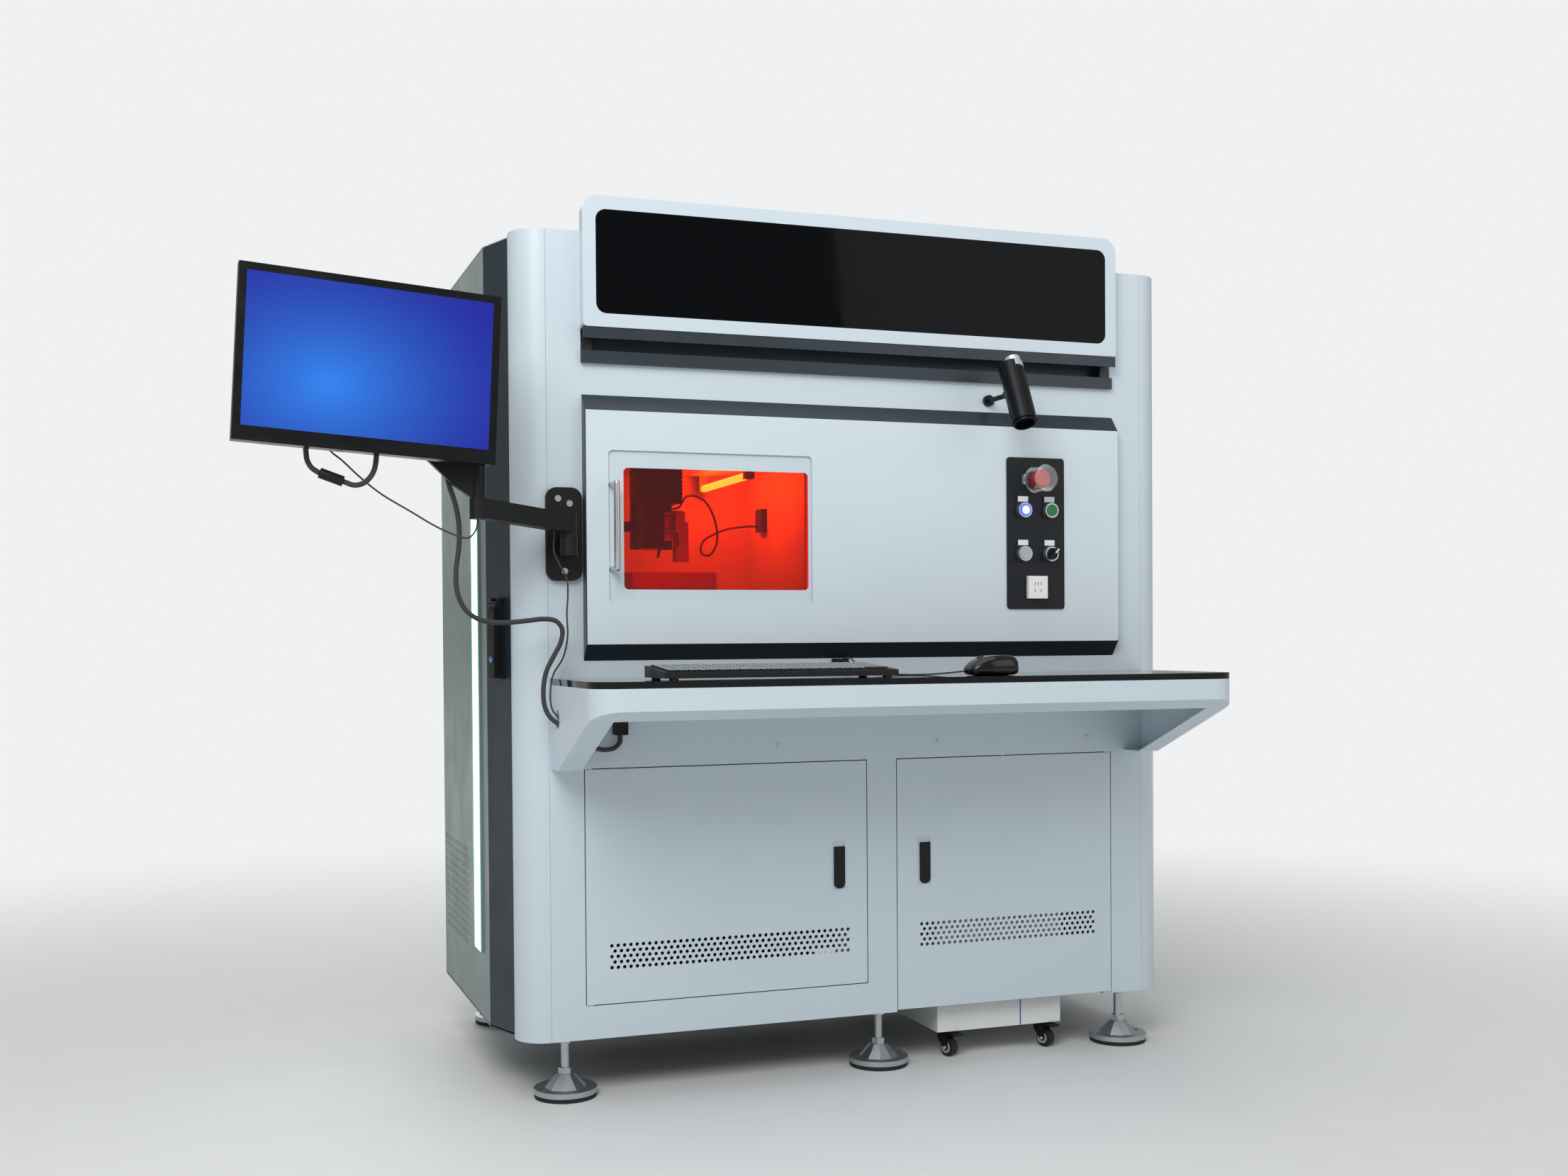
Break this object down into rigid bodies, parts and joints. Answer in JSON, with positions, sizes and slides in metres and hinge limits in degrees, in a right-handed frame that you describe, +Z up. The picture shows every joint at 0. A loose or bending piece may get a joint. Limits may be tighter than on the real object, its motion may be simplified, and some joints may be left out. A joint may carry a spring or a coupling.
{
  "type": "laser cutting machine",
  "caption": "Free-standing enclosed laser cutting machine with a red sliding window, desk console, arm-mounted monitor, control plate and a wheeled chiller in its right bay.",
  "frame": {"origin": "centre of the footprint's bounding box, on the floor under the foot pads", "axes": "+X to the machine's right as seen from the operator, +Y to the rear, +Z up"},
  "size_m": [1.932, 1.105, 1.695],
  "materials": {
    "white_paint": "light cool grey powder coat",
    "slate_paint": "dark slate powder coat",
    "silver_paint": "silver-grey paint",
    "zinc_steel": "zinc plated steel",
    "alu": "satin anodised aluminium",
    "black_gloss": "black gloss",
    "black_plastic": "black moulded plastic",
    "white_plastic": "white moulded plastic",
    "lit_white": "opal diffuser, lit white",
    "liner_white": "white paint",
    "red_glass": "red laser-safety acrylic",
    "clear_glass": "clear polycarbonate",
    "desk_glass": "black back-painted glass",
    "sign_black": "black glass",
    "screen": "lit display, plain blue",
    "red_plastic": "red moulded plastic",
    "blue_lens": "lit blue lens",
    "green_lens": "green lens",
    "grey_lens": "pale grey lens",
    "rubber": "black rubber",
    "chill_paint": "off-white powder coat",
    "cable_pvc": "black PVC"
  },
  "bodies": {
    "cabinet": {"base_frame": "slate_paint", "hinge_pins": "zinc_steel", "front_fascia": "white_paint", "corner_columns": "white_paint", "top_cover": "white_paint", "rear_panel": "silver_paint", "sign_housing": "white_paint", "sign_glass": "sign_black", "louvre": "slate_paint", "panel_face": "white_paint", "panel_trims": "slate_paint", "chamber_liner": "liner_white", "tube_light": "lit_white", "stage_base": "black_plastic", "console_shelf": "white_paint", "shelf_glass": "desk_glass", "fixing_screws": "zinc_steel", "arm_wall_plate": "black_plastic", "control_plate": "slate_paint", "button_bezels": "zinc_steel", "mains_socket": "white_plastic", "levelling_feet": "zinc_steel", "foot_pads": "rubber", "keyboard": "black_plastic", "mouse": "black_gloss", "arm_cables": "cable_pvc"},
    "left_side_door": {"left_side_door": "silver_paint", "left_light_strip": "lit_white"},
    "left_swing_lever": {"left_swing_lever": "black_plastic"},
    "right_side_door": {"right_side_door": "silver_paint", "right_light_strip": "lit_white"},
    "right_swing_lever": {"right_swing_lever": "black_plastic"},
    "left_door": {"left_door": "white_paint"},
    "left_latch": {"left_latch": "black_plastic"},
    "right_door": {"right_door": "white_paint"},
    "right_latch": {"right_latch": "black_plastic"},
    "window": {"window_door": "white_paint", "window_pane": "red_glass", "window_handle": "alu"},
    "stop_button": {"stop_button": "red_plastic"},
    "stop_cover": {"stop_cover": "clear_glass"},
    "blue_button": {"blue_button": "blue_lens"},
    "green_button": {"green_button": "green_lens"},
    "white_button": {"white_button": "grey_lens"},
    "selector": {"selector_knob": "black_plastic"},
    "lamp_arm": {"lamp_arm": "black_plastic"},
    "lamp_body": {"lamp_body": "black_plastic"},
    "arm_link": {"arm_link": "black_plastic"},
    "arm_riser": {"arm_riser": "black_plastic"},
    "monitor": {"monitor_case": "black_plastic", "monitor_screen": "screen"},
    "z_carriage": {"z_carriage": "black_plastic"},
    "y_saddle": {"y_saddle": "alu"},
    "x_table": {"x_table": "alu"},
    "chiller": {"chiller_case": "chill_paint"},
    "front_left_fork": {"front_left_fork": "black_plastic"},
    "front_left_wheel": {"front_left_wheel": "rubber"},
    "front_right_fork": {"front_right_fork": "black_plastic"},
    "front_right_wheel": {"front_right_wheel": "rubber"},
    "rear_wheels": {"rear_wheels": "rubber"}
  },
  "joints": [
    {"name": "left_side_door_swing", "type": "hinge", "parent": "cabinet", "child": "left_side_door", "pos_m": [-0.47506, 0.5332, 0.87], "axis": [0, 0, -1], "range_deg": [0, 100]},
    {"name": "left_swing_lever_lift", "type": "hinge", "parent": "left_side_door", "child": "left_swing_lever", "pos_m": [-0.47823, -0.08359, 0.936], "axis": [-0.3227, 0.9465, 0], "range_deg": [0, 25]},
    {"name": "right_side_door_swing", "type": "hinge", "parent": "cabinet", "child": "right_side_door", "pos_m": [0.95194, 0.5332, 0.87], "axis": [0, 0, 1], "range_deg": [0, 100]},
    {"name": "right_swing_lever_lift", "type": "hinge", "parent": "right_side_door", "child": "right_swing_lever", "pos_m": [0.95512, -0.08359, 0.936], "axis": [-0.3227, -0.9465, 0], "range_deg": [0, 25]},
    {"name": "left_door_swing", "type": "hinge", "parent": "cabinet", "child": "left_door", "pos_m": [-0.32206, -0.194, 0.4], "axis": [0, 0, -1], "range_deg": [0, 110]},
    {"name": "left_latch_lift", "type": "hinge", "parent": "left_door", "child": "left_latch", "pos_m": [0.18294, -0.2025, 0.451], "axis": [-1, 0, 0], "range_deg": [0, 30]},
    {"name": "right_door_swing", "type": "hinge", "parent": "cabinet", "child": "right_door", "pos_m": [0.79294, -0.194, 0.37], "axis": [0, 0, 1], "range_deg": [0, 110]},
    {"name": "right_latch_lift", "type": "hinge", "parent": "right_door", "child": "right_latch", "pos_m": [0.36994, -0.2025, 0.451], "axis": [-1, 0, 0], "range_deg": [0, 30]},
    {"name": "window_slide", "type": "slide", "parent": "cabinet", "child": "window", "axis": [1, 0, 0], "range_m": [0, 0.38]},
    {"name": "stop_button_press", "type": "slide", "parent": "cabinet", "child": "stop_button", "axis": [0, 1, 0], "range_m": [0, 0.004]},
    {"name": "stop_cover_lift", "type": "hinge", "parent": "cabinet", "child": "stop_cover", "pos_m": [0.58294, -0.2345, 1.189], "axis": [0, 0, -1], "range_deg": [0, 100]},
    {"name": "blue_button_press", "type": "slide", "parent": "cabinet", "child": "blue_button", "axis": [0, 1, 0], "range_m": [0, 0.004], "stiffness_N_per_m": 400},
    {"name": "green_button_press", "type": "slide", "parent": "cabinet", "child": "green_button", "axis": [0, 1, 0], "range_m": [0, 0.004], "stiffness_N_per_m": 400},
    {"name": "white_button_press", "type": "slide", "parent": "cabinet", "child": "white_button", "axis": [0, 1, 0], "range_m": [0, 0.004], "stiffness_N_per_m": 400},
    {"name": "selector_turn", "type": "hinge", "parent": "cabinet", "child": "selector", "pos_m": [0.64344, -0.2375, 1.037], "axis": [0, -1, 0], "range_deg": [0, 90]},
    {"name": "lamp_arm_roll", "type": "hinge", "parent": "cabinet", "child": "lamp_arm", "pos_m": [0.51794, -0.2045, 1.35], "axis": [0, 1, 0], "range_deg": [-60, 60]},
    {"name": "lamp_tilt", "type": "hinge", "parent": "lamp_arm", "child": "lamp_body", "pos_m": [0.51794, -0.2885, 1.35], "axis": [1, 0, 0], "range_deg": [-30, 45]},
    {"name": "arm_link_swing", "type": "hinge", "parent": "cabinet", "child": "arm_link", "pos_m": [-0.36906, -0.2485, 1.08], "axis": [0, 0, 1], "range_deg": [-20, 80], "deforming": ["arm_cables"]},
    {"name": "arm_riser_swing", "type": "hinge", "parent": "arm_link", "child": "arm_riser", "pos_m": [-0.55273, -0.35031, 1.1], "axis": [0, 0, 1], "range_deg": [-30, 60]},
    {"name": "monitor_tilt", "type": "hinge", "parent": "arm_riser", "child": "monitor", "pos_m": [-0.74006, -0.3641, 1.332], "axis": [1, 0, 0], "range_deg": [-15, 5]},
    {"name": "z_axis_lift", "type": "slide", "parent": "cabinet", "child": "z_carriage", "axis": [0, 0, 1], "range_m": [-0.02, 0]},
    {"name": "y_axis_travel", "type": "slide", "parent": "cabinet", "child": "y_saddle", "axis": [0, 1, 0], "range_m": [-0.05, 0.05]},
    {"name": "x_axis_travel", "type": "slide", "parent": "y_saddle", "child": "x_table", "axis": [1, 0, 0], "range_m": [-0.06, 0.06]},
    {"name": "chiller_roll", "type": "slide", "parent": "cabinet", "child": "chiller", "axis": [0, 1, 0], "range_m": [0, 0.08]},
    {"name": "front_left_swivel", "type": "hinge", "parent": "chiller", "child": "front_left_fork", "pos_m": [0.44194, -0.1405, 0.056], "axis": [0, 0, 1], "continuous": true},
    {"name": "front_left_spin", "type": "hinge", "parent": "front_left_fork", "child": "front_left_wheel", "pos_m": [0.44605, -0.15178, 0.0183], "axis": [0.9397, 0.342, 0], "continuous": true},
    {"name": "front_right_swivel", "type": "hinge", "parent": "chiller", "child": "front_right_fork", "pos_m": [0.66794, -0.1405, 0.056], "axis": [0, 0, 1], "continuous": true},
    {"name": "front_right_spin", "type": "hinge", "parent": "front_right_fork", "child": "front_right_wheel", "pos_m": [0.67205, -0.15178, 0.0183], "axis": [0.9397, 0.342, 0], "continuous": true},
    {"name": "rear_spin", "type": "hinge", "parent": "chiller", "child": "rear_wheels", "pos_m": [0.55494, 0.3635, 0.0183], "axis": [1, 0, 0], "continuous": true}
  ]
}
